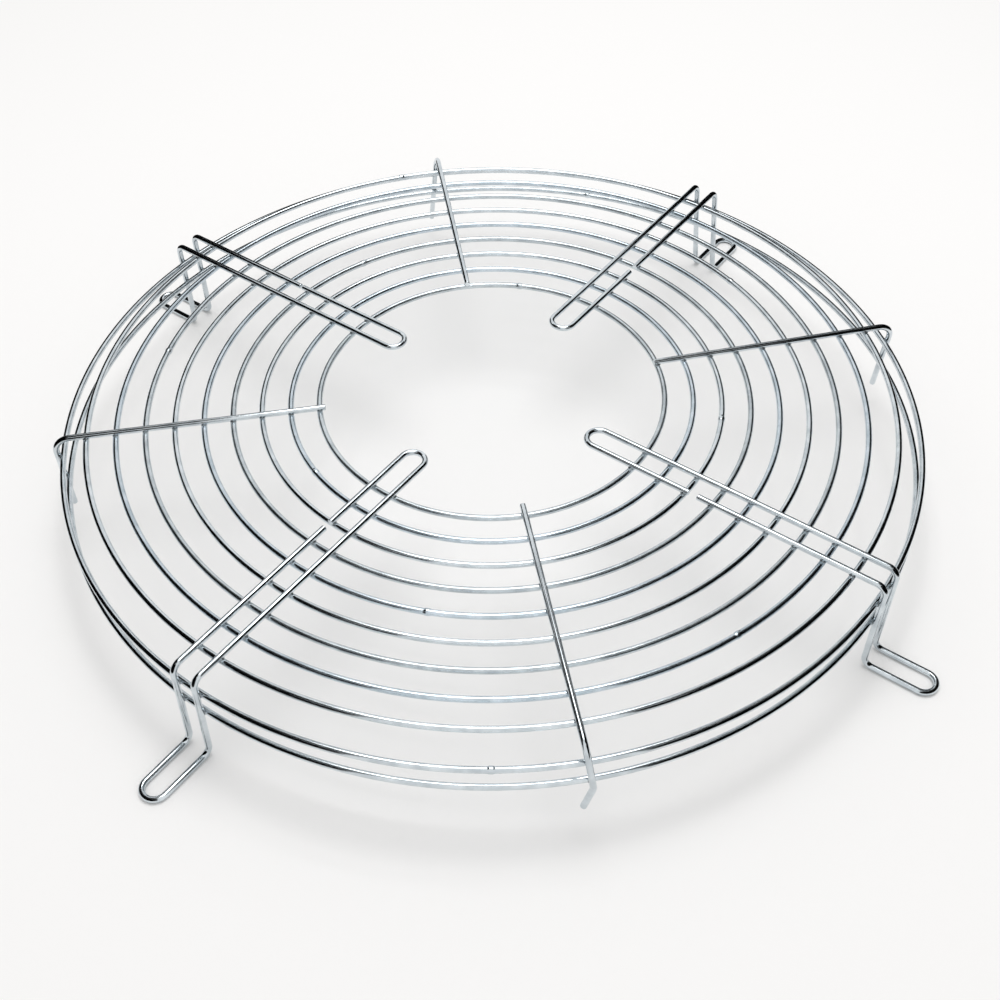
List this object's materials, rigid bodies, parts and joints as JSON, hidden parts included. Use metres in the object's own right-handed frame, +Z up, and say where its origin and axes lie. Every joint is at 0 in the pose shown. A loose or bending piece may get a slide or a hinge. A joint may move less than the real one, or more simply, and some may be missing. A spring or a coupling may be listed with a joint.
{
  "type": "wire fan guard",
  "caption": "Round wire fan guard: concentric rings welded under hairpin legs whose feet are open fixing slots, with short spokes between them and a two-ring skirt.",
  "frame": {"origin": "guard's centre on the plane that the undersides of its four feet stand on", "axes": "+Z up through the grille, away from the mounting surface; the four legs lie along +X, +Y, -X and -Y"},
  "size_m": [0.5, 0.5, 0.058],
  "materials": {
    "zinc_wire": "bright zinc-plated steel wire"
  },
  "bodies": {
    "root": {"grille_ring_1": "zinc_wire", "grille_ring_2": "zinc_wire", "grille_ring_3": "zinc_wire", "grille_ring_4": "zinc_wire", "grille_ring_5": "zinc_wire", "grille_ring_6": "zinc_wire", "grille_ring_7": "zinc_wire", "grille_ring_8": "zinc_wire", "grille_ring_9": "zinc_wire", "skirt_ring_upper": "zinc_wire", "skirt_ring_lower": "zinc_wire", "leg_1": "zinc_wire", "leg_2": "zinc_wire", "leg_3": "zinc_wire", "leg_4": "zinc_wire", "spoke_1": "zinc_wire", "spoke_2": "zinc_wire", "spoke_3": "zinc_wire", "spoke_4": "zinc_wire"}
  },
  "joints": []
}
